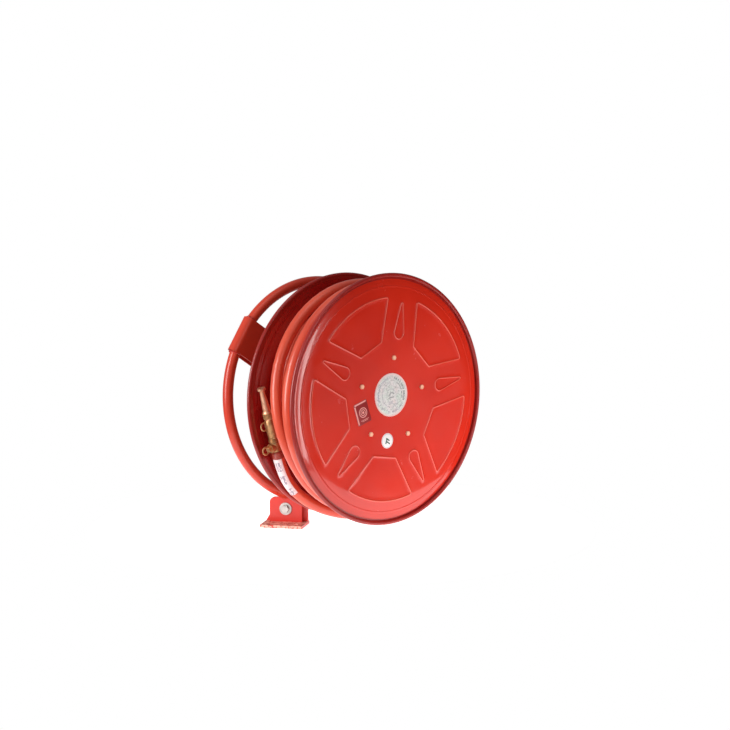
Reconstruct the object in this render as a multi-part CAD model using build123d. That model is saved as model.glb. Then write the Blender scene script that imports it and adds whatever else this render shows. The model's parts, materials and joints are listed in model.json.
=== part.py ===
from build123d import *
import os
from math import acos, cos, radians, sin, tan

# Wall-mounted fire hose reel, millimetres, +Z up.
# The origin is the centre of the wall plate's back face, which lies on the reel's axis.
# The axis runs along Y: the wall is at y = 0 and the front of the reel faces -Y.

# ---------------------------------------------------------------- driving dimensions
DISC_R = 300.0
RIM_GAP = 165.0
REAR_TO_HOOP = 111.0
WALL_TO_HOOP = 80.0
HOSE_R = 13.5

HOOP_Y = -WALL_TO_HOOP
REAR_Y = HOOP_Y - REAR_TO_HOOP
FRONT_Y = REAR_Y - RIM_GAP
FIT = 0.05

# Pressed discs
SHEET = 1.6
FACE_RISE = 5.0
REAR_INSET = 4.0
FLAT_R = 0.790 * DISC_R
SLOPE_R = 0.945 * DISC_R
GROOVE_R = 0.972 * DISC_R
SLOPE_FALL = -1.5
GROOVE_FALL = -2.5
ROLL_R = 5.0
RIB_W = 6.0
RIB_H = 1.8
RIB_ROOT = 0.6
RIB_PHASE = 81.0
FAN_OUTER_R = 0.818 * DISC_R
FAN_INNER_R = 0.462 * DISC_R
FAN_OUTER_HALF = 25.7
FAN_INNER_HALF = 15.5
FAN_ROUND = 7.0
TEAR_INNER = 0.535 * DISC_R
TEAR_OUTER = 0.760 * DISC_R
TEAR_BIG_R = 17.5
TEAR_TIP_R = 5.5

# Drum core and its screws
CORE_R = 134.0
CORE_SHEET = 2.0
CORE_LIP_R = 88.0
SCREW_R = 3.0
SCREW_HOLE_R = 3.3
BOLT_CIRCLE_R = 100.0
BOLT_PHASE = 85.6
COUNT = 5

# Hub and spindle
SPINDLE_R = 16.0
WATERWAY_R = 10.0
HUB_R = 31.0
HUB_BACK = -170.0
HUB_FRONT = -232.0
HUB_FLANGE_R = 70.0
HUB_FLANGE = 8.0
HUB_BOLT_R = 55.0
HUB_BOLT_PHASE = 79.6
HUB_BOLTS = 6
M8_R = 4.0
M8_HOLE_R = 4.3
M8_FLATS = 13.0
M8_HEAD = 5.5
M8_NUT = 6.5
PORT_Y = REAR_Y - 14.0
PORT_TURN = 40.4
PORT_BOSS_R = 17.0
CHAMBER_R = 22.0
CHAMBER_HALF = 10.0
SEAL_WIRE = 1.38
SEAL_Y = (-183.0, -222.0)
SPINDLE_BACK = -135.0
SPINDLE_END = -244.0
ELBOW_R = 13.0
ELBOW_BEND = 30.0
TAIL_Z = 140.0
TAIL_LENGTH = 45.0

# Frame
HOOP_R = 271.0
HOOP_TUBE_R = 12.7
STRAP = 3.0
STRAP_GAP = 0.2
STRAP_WIDTH = 90.0
STRAP_ANGLE = 147.0
POST_R = 30.15
POST_WALL = 4.0
PLATE_X = 200.0
PLATE_Z = 140.0
PLATE_T = 6.0
WALL_HOLE_R = 5.5
WALL_SPACING_X = 160.0
WALL_SPACING_Z = 100.0
INLET_FLANGE_R = 54.0
INLET_FLANGE = 10.0
INLET_BOLT_R = 42.0
INLET_NECK_R = 28.0
INLET_PORT_Y = -126.0
INLET_THREAD_R = 15.15
INLET_THREAD_L = 20.0
INLET_REACH = 62.0

# Foot: a lug under the hoop is bolted between two plates that stand on a base.
# The foot is turned about the vertical, away from the reel's plane.
FOOT_ANGLE = 249.1
FOOT_YAW = 53.0
FOOT_PLATE = 6.0
FOOT_BOLT_DROP = 35.4
FOOT_TOP_RISE = 29.0
FOOT_HALF = 41.0
FOOT_CORNER = 14.0
FOOT_REAR_RISE = 14.0
FOOT_BASE_DROP = 33.0
FOOT_BASE_T = 7.0
FOOT_BASE_HALF = 53.5
FOOT_BASE_FRONT = 57.0
FOOT_BASE_BACK = -18.0
FOOT_HOLE_R = 5.5
FOOT_HOLE_SPACING = 66.0
FOOT_HOLE_Z = 36.0
LUG_W = 30.0
LUG_BELOW = 24.0
M10_R = 5.0
M10_HOLE_R = 5.3
M10_FLATS = 17.0
WASHER_R = 15.5
WASHER_T = 2.5

# Hose coil: outer shape of the wound hose
COIL_R = 283.5
COIL_SHELF_R = 228.0
COIL_VALLEY_FRONT = -236.0

# Free end of the hose, from the nozzle back to the outermost turn
HOSE_END = [
    (-227, -215, -121.5),
    (-211.5, -215, -174),
    (-175, -217, -222),
    (-128, -222, -256),
    (-70, -232, -280),
    (-8, -243, -292),
    (55, -250, -285),
    (115, -254, -260),
    (167, -254, -219),
    (204, -254, -177),
]

# Nozzle and its cock: heights along their own axis, from the end of the hose
FERRULE_TOP = 7.5
COCK_AXIS = 18.5
COCK_TOP = 29.5
SEAL_TOP = 31.0
COLLAR_TOP = 39.0
BARREL_TOP = 87.0
BARREL_R = 13.8
TIP_TOP = 165.0
NOZZLE_BORE = 5.0
PLUG_R = 7.0
EYE_AT = (17.8, 74.7)
EYE_R = 9.5
EYE_WIRE = 1.8

# Stickers on the front disc
LABEL_R = 51.5
LABEL_RISE = 12.0
LABEL_T = 0.8
STICKER_T = 0.4
ROUND_STICKER_R = 18.0
ROUND_STICKER_AT = (-12.2, -96.7)
SQUARE_STICKER = (42.0, 54.0)
SQUARE_STICKER_AT = (-89.6, -23.3)
SQUARE_STICKER_TURN = 18.2

FACE_FRONT = FRONT_Y - FACE_RISE
FACE_BACK = FACE_FRONT + SHEET
REAR_OUTER = REAR_Y + FACE_RISE
REAR_INNER = REAR_OUTER - SHEET


# ---------------------------------------------------------------- helpers
def rod(radius, start, end, x=0.0, z=0.0):
    """Cylinder along Y between two y values."""
    return Pos(x, (start + end) / 2, z) * Rot(90, 0, 0) * Cylinder(radius, abs(end - start))


def tube(outer, inner, start, end, x=0.0, z=0.0):
    """Hollow cylinder along Y."""
    return rod(outer, start, end, x, z) - rod(inner, start - 1, end + 1, x, z)


def turned(points):
    """Solid of revolution about the reel's axis from (radius, y) corners."""
    return revolve(make_face(Polyline(*points, close=True)), axis=Axis.Y)


def hexagon(flats, start, end, x=0.0, z=0.0):
    """Hexagonal prism along Y."""
    sketch = RegularPolygon(flats / 2, 6, major_radius=False)
    prism = extrude(sketch, abs(end - start) / 2, both=True)
    return Pos(x, (start + end) / 2, z) * Rot(90, 0, 0) * prism


def on_circle(radius, count, phase):
    """Points (x, z) evenly spaced on a circle about the axis."""
    angles = [radians(phase + 360 * i / count) for i in range(count)]
    return [(radius * cos(a), radius * sin(a)) for a in angles]


def screw(shank, flats, head, face, tip, x, z):
    """Hexagon-head screw along Y; its head stands off the face, away from the tip."""
    away = -1 if tip > face else 1
    return rod(shank, face, tip, x, z) + hexagon(flats, face, face + away * head, x, z)


def nut(bore, flats, start, end, x, z):
    """Hexagon nut along Y."""
    return hexagon(flats, start, end, x, z) - rod(bore, min(start, end) - 1, max(start, end) + 1, x, z)


def group(solids):
    """Several separate solids in one node."""
    return Compound(children=list(solids))


def save(shape, name):
    export_step(shape, f"parts/{name}.step")


# ---------------------------------------------------------------- pressed discs
def fan_outline():
    """Band that outlines the panel between two teardrops, centred on local +X."""
    outer = [radians(FAN_OUTER_HALF * s) for s in (-1, 1)]
    inner = [radians(FAN_INNER_HALF * s) for s in (1, -1)]
    a, b = [(FAN_OUTER_R * cos(t), FAN_OUTER_R * sin(t)) for t in outer]
    c, d = [(FAN_INNER_R * cos(t), FAN_INNER_R * sin(t)) for t in inner]
    edges = [
        ThreePointArc(a, (FAN_OUTER_R, 0), b),
        Line(b, c),
        Line(c, d),
        Line(d, a),
    ]
    face = make_face(edges)
    face = fillet(face.vertices(), FAN_ROUND)
    return face - offset(face, -RIB_W)


def tear_face(shrink):
    """Teardrop centred on local +X with its narrow end outwards, drawn in by a margin."""
    big = TEAR_BIG_R - shrink
    small = TEAR_TIP_R - shrink
    lean = acos((big - small) / (TEAR_OUTER - TEAR_INNER))
    corners = []
    for sign in (1, -1):
        ends = [(TEAR_INNER, big), (TEAR_OUTER, small)]
        for centre, radius in ends[::sign]:
            corners.append((centre + radius * cos(lean), sign * radius * sin(lean)))
    face = Polygon(*corners, align=None)
    face += Pos(TEAR_INNER, 0) * Circle(big)
    face += Pos(TEAR_OUTER, 0) * Circle(small)
    return face


def tear_outline():
    return tear_face(0) - tear_face(RIB_W * 0.8)


def ribs():
    """Raised pressed outlines, standing up from z = 0 of the disc's own frame."""
    fan = extrude(fan_outline(), RIB_H + RIB_ROOT, dir=(0, 0, 1))
    tear = extrude(tear_outline(), RIB_H + RIB_ROOT, dir=(0, 0, 1))
    solids = []
    for i in range(COUNT):
        turn = RIB_PHASE + 360 * i / COUNT
        solids += (Rot(0, 0, turn) * tear).solids()
        solids += (Rot(0, 0, turn + 180 / COUNT) * fan).solids()
    return solids


def disc_section(rim_y, outward, inset):
    """Half section of a disc's sheet: flat face, curved shoulder and the groove inside the rolled edge."""
    def at(radius, rise):
        return (radius, rim_y + outward * rise)

    flat = FLAT_R - inset
    slope = SLOPE_R - inset
    groove = GROOVE_R - inset
    edges = []
    for depth in (0, SHEET):
        edges += [
            Line(at(0, FACE_RISE - depth), at(flat, FACE_RISE - depth)),
            TangentArc(at(flat, FACE_RISE - depth), at(slope, SLOPE_FALL - depth), tangent=(1, 0)),
            Line(at(slope, SLOPE_FALL - depth), at(groove, GROOVE_FALL - depth)),
        ]
    for radius, rise in ((0, FACE_RISE), (groove, GROOVE_FALL)):
        edges.append(Line(at(radius, rise), at(radius, rise - SHEET)))
    return make_face(edges)


def pressed_disc(rim_y, outward, inset):
    """Sheet disc with a rolled edge; outward is -1 for the front disc and +1 for the rear."""
    disc = revolve(disc_section(rim_y, outward, inset), axis=Axis.Y)
    disc += Pos(0, rim_y, 0) * Rot(90, 0, 0) * Torus(DISC_R - inset - ROLL_R, ROLL_R)
    face_y = rim_y + outward * FACE_RISE
    for rib in ribs():
        disc += Pos(0, face_y, 0) * Rot(-90 * outward, 0, 0) * Pos(0, 0, -RIB_ROOT) * rib
    for x, z in on_circle(BOLT_CIRCLE_R, COUNT, BOLT_PHASE):
        disc -= rod(SCREW_HOLE_R, rim_y - 20, rim_y + 20, x, z)
    return disc


def make_discs():
    save(pressed_disc(FRONT_Y, -1, 0), "front_disc")
    rear = pressed_disc(REAR_Y, 1, REAR_INSET) - rod(HUB_R + 0.5, REAR_Y - 20, REAR_Y + 20)
    for x, z in on_circle(HUB_BOLT_R, HUB_BOLTS, HUB_BOLT_PHASE):
        rear -= rod(M8_HOLE_R, REAR_Y - 20, REAR_Y + 20, x, z)
    save(rear, "rear_disc")


# ---------------------------------------------------------------- drum
def make_drum():
    core = tube(CORE_R, CORE_R - CORE_SHEET, FACE_BACK, REAR_INNER)
    core += tube(CORE_R - 0.5, CORE_LIP_R, FACE_BACK, FACE_BACK + CORE_SHEET)
    core += tube(CORE_R - 0.5, CORE_LIP_R, REAR_INNER - CORE_SHEET, REAR_INNER)
    for x, z in on_circle(BOLT_CIRCLE_R, COUNT, BOLT_PHASE):
        core -= rod(SCREW_HOLE_R, FACE_BACK - 5, REAR_INNER + 5, x, z)
    slot_front = PORT_Y - ELBOW_R - 3
    slot_back = REAR_INNER - CORE_SHEET - 1
    slot = Pos(42, (slot_front + slot_back) / 2, 125) * Box(120, slot_back - slot_front, 60)
    core -= Rot(0, PORT_TURN, 0) * slot
    save(core, "drum_core")

    front_screws, front_nuts, rear_screws, rear_nuts = [], [], [], []
    for x, z in on_circle(BOLT_CIRCLE_R, COUNT, BOLT_PHASE):
        front_screws.append(screw(SCREW_R, 10, 4, FACE_FRONT, FACE_FRONT + 14, x, z))
        front_nuts.append(nut(SCREW_R + FIT, 10, FACE_BACK + CORE_SHEET, FACE_BACK + CORE_SHEET + 5, x, z))
        rear_screws.append(screw(SCREW_R, 10, 4, REAR_OUTER, REAR_OUTER - 14, x, z))
        rear_nuts.append(nut(SCREW_R + FIT, 10, REAR_INNER - CORE_SHEET, REAR_INNER - CORE_SHEET - 5, x, z))
    save(group(front_screws), "front_bolts")
    save(group(front_nuts), "front_nuts")
    save(group(rear_screws), "rear_bolts")
    save(group(rear_nuts), "rear_nuts")


# ---------------------------------------------------------------- hub, spindle and water outlet
def make_hub():
    hub = rod(HUB_R, HUB_BACK, HUB_FRONT)
    hub += rod(HUB_FLANGE_R, REAR_OUTER, REAR_OUTER + HUB_FLANGE)
    port = Rot(0, PORT_TURN, 0)
    hub += port * Pos(0, PORT_Y, 20) * Cylinder(PORT_BOSS_R, 40)
    hub -= rod(SPINDLE_R + FIT, HUB_BACK + 1, HUB_FRONT - 1)
    hub -= rod(CHAMBER_R, PORT_Y - CHAMBER_HALF, PORT_Y + CHAMBER_HALF)
    hub -= port * Pos(0, PORT_Y, 30) * Cylinder(9.5, 40)
    hub -= port * Pos(0, PORT_Y, 37) * Cylinder(ELBOW_R + FIT, 8)
    bolts, nuts = [], []
    for x, z in on_circle(HUB_BOLT_R, HUB_BOLTS, HUB_BOLT_PHASE):
        hub -= rod(M8_HOLE_R, REAR_OUTER - 5, REAR_OUTER + 20, x, z)
        bolts.append(screw(M8_R, M8_FLATS, M8_HEAD, REAR_OUTER + HUB_FLANGE, REAR_INNER - 9, x, z))
        nuts.append(nut(M8_R + FIT, M8_FLATS, REAR_INNER, REAR_INNER - M8_NUT, x, z))
    save(hub, "hub_barrel")
    save(group(bolts), "hub_bolts")
    save(group(nuts), "hub_nuts")


def make_outlet():
    port = Rot(0, PORT_TURN, 0)
    path = Wire([
        Line((0, PORT_Y, 33), (0, PORT_Y, TAIL_Z - ELBOW_BEND)),
        ThreePointArc(
            (0, PORT_Y, TAIL_Z - ELBOW_BEND),
            (ELBOW_BEND * (1 - cos(radians(45))), PORT_Y, TAIL_Z - ELBOW_BEND * (1 - sin(radians(45)))),
            (ELBOW_BEND, PORT_Y, TAIL_Z),
        ),
        Line((ELBOW_BEND, PORT_Y, TAIL_Z), (ELBOW_BEND + 8, PORT_Y, TAIL_Z)),
    ])
    start = Plane(origin=(0, PORT_Y, 33), z_dir=(0, 0, 1))
    elbow = sweep(start * Circle(ELBOW_R), path) - sweep(start * Circle(8.5), path)
    save(port * elbow, "outlet_elbow")

    tail_x = ELBOW_BEND + 8
    barbs = [(7.0, 0.0), (12.5, 0.0), (12.5, 5.0), (9.0, 5.0)]
    for i in range(4):
        barbs += [(9.0, 9.0 + 9 * i), (9.6, 9.0 + 9 * i), (8.8, 16.0 + 9 * i)]
    barbs += [(8.8, TAIL_LENGTH), (7.0, TAIL_LENGTH)]
    face = make_face(Polyline(*barbs, close=True))
    tail = Pos(tail_x, PORT_Y, TAIL_Z) * Rot(0, 0, -90) * revolve(face, axis=Axis.Y)
    save(port * tail, "hose_tail")

    band = Cylinder(HOSE_R + 1.0, 12) - Cylinder(HOSE_R + 0.1, 14)
    band += Pos(HOSE_R + 3.0, 0, 0) * (Box(6, 12, 10) - Box(8, 5.2, 12))
    band += Pos(HOSE_R + 3.2, 0, 0) * Rot(90, 0, 0) * Cylinder(2.6, 14)
    clip = Pos(tail_x + 24, PORT_Y, TAIL_Z) * Rot(0, 90, 0) * band
    save(port * clip, "inner_clip")


def make_spindle():
    spindle = rod(SPINDLE_R, SPINDLE_BACK, SPINDLE_END)
    spindle += rod(22, HUB_BACK + 0.3, HUB_BACK + 7)
    spindle -= rod(WATERWAY_R, SPINDLE_BACK + 1, PORT_Y - CHAMBER_HALF)
    spindle -= Pos(0, PORT_Y, 0) * Cylinder(6, 60)
    spindle -= Pos(0, PORT_Y, 0) * Rot(0, 90, 0) * Cylinder(6, 60)
    seals = []
    for y in SEAL_Y:
        spindle -= tube(SPINDLE_R + 1, SPINDLE_R - 2 * SEAL_WIRE - 0.04, y - 2, y + 2)
        seals.append(Pos(0, y, 0) * Rot(90, 0, 0) * Torus(SPINDLE_R - SEAL_WIRE, SEAL_WIRE))
    clip_back = HUB_FRONT - 3.1
    spindle -= tube(SPINDLE_R + 1, 14.4, clip_back - 3.1, clip_back + 0.05)
    save(spindle, "spindle")
    save(group(seals), "spindle_seals")
    save(tube(26, SPINDLE_R + 0.15, HUB_FRONT - 3.0, HUB_FRONT - 0.3), "thrust_washer")
    clip = tube(20, 14.5, clip_back - 3.0, clip_back)
    clip -= Pos(0, clip_back - 1.5, -18) * Box(10, 8, 16)
    save(clip, "retaining_clip")


# ---------------------------------------------------------------- frame
def make_frame():
    hoop = Pos(0, HOOP_Y, 0) * Rot(90, 0, 0) * Torus(HOOP_R, HOOP_TUBE_R)
    save(hoop, "frame_hoop")

    plate = Pos(0, -PLATE_T / 2, 0) * Box(PLATE_X, PLATE_T, PLATE_Z)
    plate = fillet(plate.edges().filter_by(Axis.Y), 12)
    for sx in (-1, 1):
        for sz in (-1, 1):
            plate -= rod(WALL_HOLE_R, 5, -20, sx * WALL_SPACING_X / 2, sz * WALL_SPACING_Z / 2)
    save(plate, "wall_plate")

    inner = HOOP_TUBE_R + STRAP_GAP
    outer = inner + STRAP
    angle = radians(STRAP_ANGLE)
    across = Plane(
        origin=(0, HOOP_Y, 0),
        x_dir=(cos(angle), 0, sin(angle)),
        z_dir=(-sin(angle), 0, cos(angle)),
    )
    loop = SlotCenterToCenter(2 * HOOP_R, 2 * outer) - SlotCenterToCenter(2 * HOOP_R, 2 * inner)
    arm = extrude(across * loop, STRAP_WIDTH / 2, both=True)
    arm -= rod(POST_R + FIT, HOOP_Y, 0)
    arm_front = HOOP_Y - outer
    bolts, nuts = [], []
    for x, z in on_circle(INLET_BOLT_R, 4, 45):
        arm -= rod(M8_HOLE_R, HOOP_Y, arm_front - 5, x, z)
        bolts.append(screw(M8_R, M8_FLATS, M8_HEAD, arm_front - INLET_FLANGE, arm_front + 11, x, z))
        nuts.append(nut(M8_R + FIT, M8_FLATS, arm_front + STRAP, arm_front + STRAP + M8_NUT, x, z))
    save(arm, "frame_arm")
    save(group(bolts), "inlet_bolts")
    save(group(nuts), "inlet_nuts")
    save(tube(POST_R, POST_R - POST_WALL, -PLATE_T, arm_front + STRAP), "standoff_post")

    body = rod(INLET_FLANGE_R, arm_front, arm_front - INLET_FLANGE)
    body += rod(INLET_NECK_R, arm_front, -150)
    body += Pos(0, INLET_PORT_Y, -INLET_REACH / 2) * Cylinder(22.5, INLET_REACH)
    body -= rod(SPINDLE_R + FIT, SPINDLE_BACK, -160)
    body -= rod(WATERWAY_R, INLET_PORT_Y + 6, SPINDLE_BACK - 1)
    body -= Pos(0, INLET_PORT_Y, -INLET_REACH / 2) * Cylinder(WATERWAY_R, INLET_REACH + 2)
    body -= Pos(0, INLET_PORT_Y, -INLET_REACH + INLET_THREAD_L / 2) * Cylinder(
        INLET_THREAD_R, INLET_THREAD_L
    )
    for x, z in on_circle(INLET_BOLT_R, 4, 45):
        body -= rod(M8_HOLE_R, arm_front + 5, arm_front - 20, x, z)
    save(body, "inlet_body")


def foot_place():
    """The foot's own frame: z runs forwards and y up, and the bolt crosses the lug's middle at its origin."""
    yaw = radians(FOOT_YAW)
    angle = radians(FOOT_ANGLE)
    return Plane(
        origin=(HOOP_R * cos(angle), HOOP_Y, HOOP_R * sin(angle) - FOOT_BOLT_DROP),
        x_dir=(cos(yaw), -sin(yaw), 0),
        z_dir=(-sin(yaw), -cos(yaw), 0),
    ).location


def make_foot():
    place = foot_place()
    half = FOOT_PLATE / 2
    front = half + FOOT_PLATE
    bottom = -FOOT_BASE_DROP

    def hoop(gap):
        return Pos(0, HOOP_Y, 0) * Rot(90, 0, 0) * Torus(HOOP_R, HOOP_TUBE_R + gap)

    lug_top = FOOT_BOLT_DROP - HOOP_TUBE_R / 2
    lug = Pos(0, (lug_top - LUG_BELOW) / 2, 0) * Box(LUG_W, lug_top + LUG_BELOW, FOOT_PLATE)
    lug -= Cylinder(M10_HOLE_R, 20)
    lug = (place * lug) - hoop(FIT)
    save(max(lug.solids(), key=lambda s: s.volume), "foot_lug")

    upright = Pos(0, (FOOT_TOP_RISE + bottom) / 2, half + half) * Box(
        2 * FOOT_HALF, FOOT_TOP_RISE - bottom, FOOT_PLATE
    )
    upright = fillet(upright.edges().filter_by(Axis.Z).sort_by(Axis.Y)[-2:], FOOT_CORNER)
    outline = Polygon(
        (-FOOT_BASE_HALF, bottom),
        (FOOT_BASE_HALF, bottom),
        (FOOT_BASE_HALF, FOOT_REAR_RISE - 12),
        (FOOT_HALF, FOOT_REAR_RISE - 4),
        (FOOT_HALF, FOOT_REAR_RISE),
        (-FOOT_HALF, FOOT_REAR_RISE),
        (-FOOT_HALF, bottom + 21),
        align=None,
    )
    rear_plate = Pos(0, 0, -front) * extrude(outline, FOOT_PLATE)
    base = Pos(0, bottom - FOOT_BASE_T / 2, (FOOT_BASE_FRONT + FOOT_BASE_BACK) / 2) * Box(
        2 * FOOT_BASE_HALF, FOOT_BASE_T, FOOT_BASE_FRONT - FOOT_BASE_BACK
    )
    for sign in (-1, 1):
        drill = Rot(90, 0, 0) * Cylinder(FOOT_HOLE_R, 40)
        base -= Pos(sign * FOOT_HOLE_SPACING / 2, bottom, FOOT_HOLE_Z) * drill
    bracket = upright + rear_plate + base - Cylinder(M10_HOLE_R, 60)
    save((place * bracket) - hoop(0.5), "foot_bracket")

    washer = Cylinder(WASHER_R, WASHER_T) - Cylinder(M10_HOLE_R, 5)
    seat = front + WASHER_T / 2
    save(group([place * Pos(0, 0, z) * washer for z in (seat, -seat)]), "foot_washers")
    face = front + WASHER_T
    flat = RegularPolygon(M10_FLATS / 2, 6, major_radius=False)
    bolt = extrude(flat, 6.4) + Pos(0, 0, -face - 5) * Cylinder(M10_R, 2 * face + 10)
    save(place * Pos(0, 0, face) * bolt, "foot_bolt")
    back_nut = Pos(0, 0, -face - 8) * (extrude(flat, 8) - Cylinder(M10_R + FIT, 30))
    save(place * back_nut, "foot_nut")


# ---------------------------------------------------------------- hose
def corner_radii(points):
    """Largest radii for a path's corners: 0.45 of the shorter run over the half turn's tangent."""
    radii = []
    for a, b, c in zip(points, points[1:], points[2:]):
        before = Vector(*b) - Vector(*a)
        after = Vector(*c) - Vector(*b)
        shorter = min(before.length, after.length)
        radii.append(0.45 * shorter / tan(radians(before.get_angle(after) / 2)))
    return radii


def hose_path(points):
    return FilletPolyline(*points, radius=corner_radii(points))


def make_hose():
    coil = turned([
        (CORE_R + 0.4, FACE_BACK + 0.6),
        (FLAT_R - 1, FACE_BACK + 0.6),
        (COIL_R, FRONT_Y + 6.5),
        (COIL_R, COIL_VALLEY_FRONT - 9),
        (COIL_R - 6, COIL_VALLEY_FRONT - 4.5),
        (COIL_SHELF_R, COIL_VALLEY_FRONT),
        (COIL_SHELF_R, REAR_INNER - 0.8),
        (CORE_R + 0.4, REAR_INNER - 0.8),
    ])
    coil -= Rot(0, PORT_TURN, 0) * Pos(50, PORT_Y, 143) * Box(140, 32, 46)
    save(coil, "hose_coil")

    radii = corner_radii(HOSE_END)
    print("hose end radii:", [round(r) for r in radii])
    path = hose_path(HOSE_END)
    along = Plane(origin=HOSE_END[0], z_dir=path % 0)
    free_end = sweep(along * Circle(HOSE_R), path)
    section = Circle(HOSE_R).area
    print("hose end volume over section times length:", free_end.volume / (section * path.length))
    save(free_end, "hose_end")

    middle = tuple((a + b) / 2 for a, b in zip(HOSE_END[2], HOSE_END[3]))
    wrap_points = HOSE_END[:3] + [middle]
    radii = corner_radii(HOSE_END)[:2]
    wrap_path = FilletPolyline(*wrap_points, radius=radii)
    ring = Circle(HOSE_R + 0.6) - Circle(HOSE_R + 0.05)
    save(sweep(along * ring, wrap_path), "hose_wrap")


# ---------------------------------------------------------------- nozzle
def nozzle_place():
    """The nozzle carries straight on from the hose; its x axis points away from the reel's axis."""
    ahead = Vector(*HOSE_END[0]) - Vector(*HOSE_END[1])
    return Plane(origin=HOSE_END[0], x_dir=(-ahead.Z, 0, ahead.X), z_dir=ahead).location


def spun(points):
    """Solid of revolution about the nozzle's own axis from (radius, height) corners."""
    profile = Plane.XZ * make_face(Polyline(*points, close=True))
    return revolve(profile, axis=Axis.Z)


def crosswise(shape, x=0.0):
    """A shape turned to lie along the cock's own axis, at a distance outwards."""
    return Pos(x, 0, COCK_AXIS) * Rot(0, 90, 0) * shape


def make_nozzle():
    place = nozzle_place()
    bore = NOZZLE_BORE
    save(place * spun([(7, -36), (9.2, -36), (9.2, -FIT), (7, -FIT)]), "nozzle_tail")
    ferrule = [(6, 0), (14, 0), (14, FERRULE_TOP - 4), (11, FERRULE_TOP), (6, FERRULE_TOP)]
    save(place * spun(ferrule), "nozzle_ferrule")

    cock = spun([(bore, FERRULE_TOP), (12, FERRULE_TOP), (12, COCK_TOP), (bore, COCK_TOP)])
    cock += crosswise(Cylinder(PLUG_R + 4, 32), 1)
    cock -= Pos(0, 0, COCK_AXIS) * Cylinder(bore, 22.2)
    cock -= crosswise(Cylinder(PLUG_R + FIT, 40), 1)
    save(place * cock, "cock_body")
    save(place * spun([(bore, COCK_TOP), (11, COCK_TOP), (11, SEAL_TOP), (bore, SEAL_TOP)]), "cock_seal")
    collar = [(bore, SEAL_TOP), (14, SEAL_TOP), (14, COLLAR_TOP), (bore, COLLAR_TOP)]
    save(place * spun(collar), "nozzle_collar")
    barrel = spun([
        (7, COLLAR_TOP), (12, COLLAR_TOP), (12.6, COLLAR_TOP + 3), (BARREL_R, BARREL_TOP - 9),
        (12.5, BARREL_TOP - 5), (10.5, BARREL_TOP - 1.5), (10.5, BARREL_TOP),
        (4, BARREL_TOP), (4, BARREL_TOP - 15), (7, BARREL_TOP - 20),
    ])
    save(place * barrel, "nozzle_barrel")
    tip = spun([
        (4, BARREL_TOP), (10.5, BARREL_TOP), (11.3, BARREL_TOP + 2), (11.3, BARREL_TOP + 17),
        (9.6, BARREL_TOP + 21), (5.8, TIP_TOP - 9), (9.6, TIP_TOP - 5.5), (9.6, TIP_TOP),
        (3.2, TIP_TOP), (3.2, BARREL_TOP + 9),
    ])
    save(place * tip, "nozzle_tip")
    eye = Pos(EYE_AT[0], 0, EYE_AT[1]) * Rot(90, 0, 0) * Torus(EYE_R, EYE_WIRE)
    eye -= Pos(0, 0, EYE_AT[1]) * Cylinder(BARREL_R + FIT, 3 * EYE_R)
    save(place * max(eye.solids(), key=lambda s: s.volume), "nozzle_eye")

    plug = crosswise(Cylinder(PLUG_R, 33), 0.5)
    plug += crosswise(Cylinder(PLUG_R / 2 + 0.4, 8), 21)
    plug += crosswise(Cylinder(SCREW_R, 8), -19)
    plug -= Pos(0, 0, COCK_AXIS) * Cylinder(bore, 20)
    save(place * plug, "cock_plug")
    handle = crosswise(Cylinder(7, 7) - Cylinder(PLUG_R / 2 + 0.5, 9), 21)
    bow = Pos(30.5, 0, COCK_AXIS) * Rot(90, 0, 0) * Torus(8.5, 2.2)
    bow -= crosswise(Cylinder(PLUG_R / 2 + 0.5, 12), 22)
    save(place * (handle + bow), "cock_handle")
    keeper = extrude(RegularPolygon(6.5, 6, major_radius=False), 2.5, both=True)
    save(place * crosswise(keeper - Cylinder(SCREW_R + FIT, 9), -19.5), "cock_nut")


# ---------------------------------------------------------------- labels
def make_labels():
    place = Pos(0, FACE_FRONT, 0) * Rot(90, 0, 0)
    label = Pos(0, LABEL_RISE, LABEL_T / 2) * Cylinder(LABEL_R, LABEL_T)
    save(place * label, "centre_label")
    x, z = ROUND_STICKER_AT
    save(place * Pos(x, z, STICKER_T / 2) * Cylinder(ROUND_STICKER_R, STICKER_T), "round_sticker")
    x, z = SQUARE_STICKER_AT
    square = Rot(0, 0, SQUARE_STICKER_TURN) * Box(*SQUARE_STICKER, STICKER_T)
    save(place * Pos(x, z, STICKER_T / 2) * square, "square_sticker")


def main():
    os.makedirs("parts", exist_ok=True)
    make_discs()
    make_drum()
    make_hub()
    make_outlet()
    make_spindle()
    make_frame()
    make_foot()
    make_hose()
    make_nozzle()
    make_labels()


main()
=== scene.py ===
"""Looks of a wall-mounted fire hose reel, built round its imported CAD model.

Metres, +Z up. The wall is at y = 0, the reel's axis runs along Y through the origin, and the front faces -Y.
"""

import json
import math

import bmesh
import bpy
from mathutils import Matrix, Vector, kdtree, noise
from mathutils.geometry import delaunay_2d_cdt


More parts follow.
